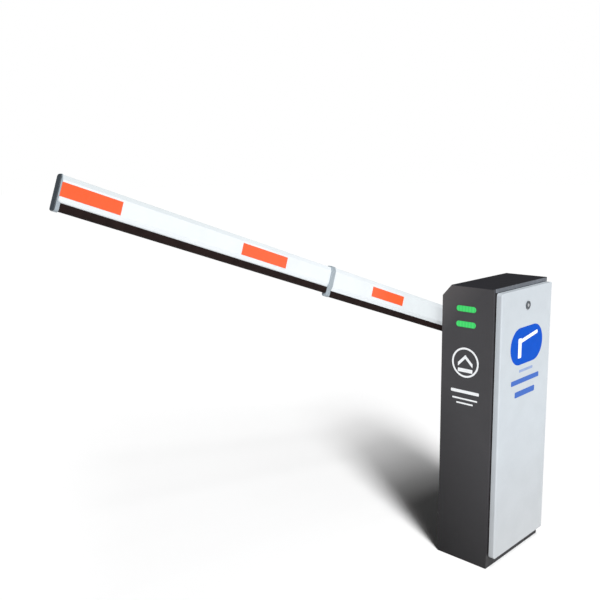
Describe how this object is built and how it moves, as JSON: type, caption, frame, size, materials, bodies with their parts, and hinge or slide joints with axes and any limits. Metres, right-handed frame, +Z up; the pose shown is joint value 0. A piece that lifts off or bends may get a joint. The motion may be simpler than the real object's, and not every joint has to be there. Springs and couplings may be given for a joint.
{
  "type": "parking barrier gate",
  "caption": "Parking barrier gate: steel cabinet with a keyed door, twin signal lights and a telescopic octagonal arm on a worm-driven shaft.",
  "frame": {"origin": "centre of the four anchor bolts, on the floor under the middle of the cabinet", "axes": "+Z up; the arm reaches towards -X from the light panel's side; the door faces -Y and the arm runs along the +Y side"},
  "size_m": [1.793, 0.296, 1.4024],
  "materials": {
    "dark_paint": "satin powder coat, dark grey",
    "black_paint": "satin powder coat, near black",
    "door_paint": "pale silver-grey powder coat",
    "white_paint": "white powder coat",
    "cast_paint": "grey machine enamel on castings",
    "zinc": "zinc plated",
    "machined": "machined steel",
    "spring_steel": "black oiled spring wire",
    "rubber": "matt black rubber",
    "lens": "clear green plastic, lit",
    "board": "printed circuit board",
    "orange_film": "orange reflective film",
    "grey_plastic": "pale blue-grey moulding",
    "slate_plastic": "dark slate moulding",
    "pale_plastic": "pale grey moulding",
    "black_plastic": "black moulding",
    "blue_plastic": "blue moulding",
    "bronze": "cast bronze and machined steel",
    "aluminium": "satin anodised aluminium",
    "chrome": "plated lock"
  },
  "bodies": {
    "cabinet": {"cabinet_shell": "dark_paint", "top_cover": "black_paint", "base_plate": "zinc", "cable_grommet": "rubber", "door_gasket": "rubber", "upper_light_lens": "lens", "lower_light_lens": "lens", "light_board": "board", "shaft_rosette": "black_plastic", "machine_plate": "zinc", "plate_standoffs": "machined", "bearing_housing": "cast_paint", "shaft_bearings": "machined", "drive_bolts": "zinc", "gearbox_housing": "cast_paint", "gearbox_cover": "cast_paint", "drip_strip": "aluminium", "motor_body": "black_paint", "motor_end_cap": "black_plastic", "stop_studs": "machined", "stop_buffers": "rubber", "position_sensor": "black_plastic", "spring_anchor": "machined", "balance_spring": "spring_steel", "control_box": "pale_plastic", "control_box_lid": "pale_plastic", "control_board": "board", "power_supply": "machined", "din_rail": "zinc", "circuit_breaker": "pale_plastic", "terminal_block": "grey_plastic", "door_hinge_leaves": "machined"},
    "door": {"door_panel": "door_paint", "door_stiffeners": "zinc", "door_knuckles": "machined", "door_hinge_pins": "zinc", "lock_body": "slate_plastic"},
    "lock": {"lock_plug": "chrome", "lock_cam": "machined"},
    "toggle": {"breaker_toggle": "blue_plastic"},
    "arm": {"main_shaft": "machined", "shaft_flange": "cast_paint", "position_disc": "zinc", "rod_lever": "cast_paint", "spring_collar": "cast_paint", "arm_bracket": "black_paint", "clamp_plate": "black_paint", "clamp_bolts": "zinc", "root_boom": "white_paint", "root_bumper": "rubber", "joint_collar": "grey_plastic", "root_reflectors": "orange_film"},
    "extension": {"tip_boom": "white_paint", "tip_bumper": "rubber", "end_band": "grey_plastic", "end_cap": "slate_plastic", "tip_reflectors": "orange_film"},
    "crank": {"crank_set": "bronze"},
    "rod": {"connecting_rod": "zinc"},
    "worm": {"worm_and_knob": "machined"}
  },
  "joints": [
    {"name": "arm_lift", "type": "hinge", "parent": "cabinet", "child": "arm", "pos_m": [0, 0, 0.83], "axis": [0, 1, 0], "range_deg": [-18.75, 71.25]},
    {"name": "arm_extend", "type": "slide", "parent": "arm", "child": "extension", "axis": [-0.9469, 0, 0.3214], "range_m": [0, 0.15]},
    {"name": "crank_turn", "type": "hinge", "parent": "cabinet", "child": "crank", "pos_m": [0, 0, 0.56], "axis": [0, 1, 0], "range_deg": [-18.9, 71.3]},
    {"name": "rod_swing", "type": "hinge", "parent": "crank", "child": "rod", "pos_m": [-0.06278, 0, 0.52904], "axis": [0, 1, 0], "range_deg": [-71.3, 18.9]},
    {"name": "worm_spin", "type": "hinge", "parent": "cabinet", "child": "worm", "pos_m": [0.052, 0.046, 0.56], "axis": [0, 0, 1], "range_deg": [-753, 2853]},
    {"name": "door_tilt", "type": "hinge", "parent": "cabinet", "child": "door", "pos_m": [0, -0.11, 0.048], "axis": [1, 0, 0], "range_deg": [0, 35]},
    {"name": "lock_turn", "type": "hinge", "parent": "door", "child": "lock", "pos_m": [0, -0.11, 0.925], "axis": [0, -1, 0], "range_deg": [0, 90]},
    {"name": "breaker_switch", "type": "hinge", "parent": "cabinet", "child": "toggle", "pos_m": [-0.132, 0.034, 0.212], "axis": [1, 0, 0], "range_deg": [-50, 0]}
  ],
  "couplings": [
    {"joint": "crank_turn", "follows": "arm_lift", "ratio": 1},
    {"joint": "rod_swing", "follows": "arm_lift", "ratio": -1},
    {"joint": "worm_spin", "follows": "arm_lift", "ratio": 40}
  ]
}
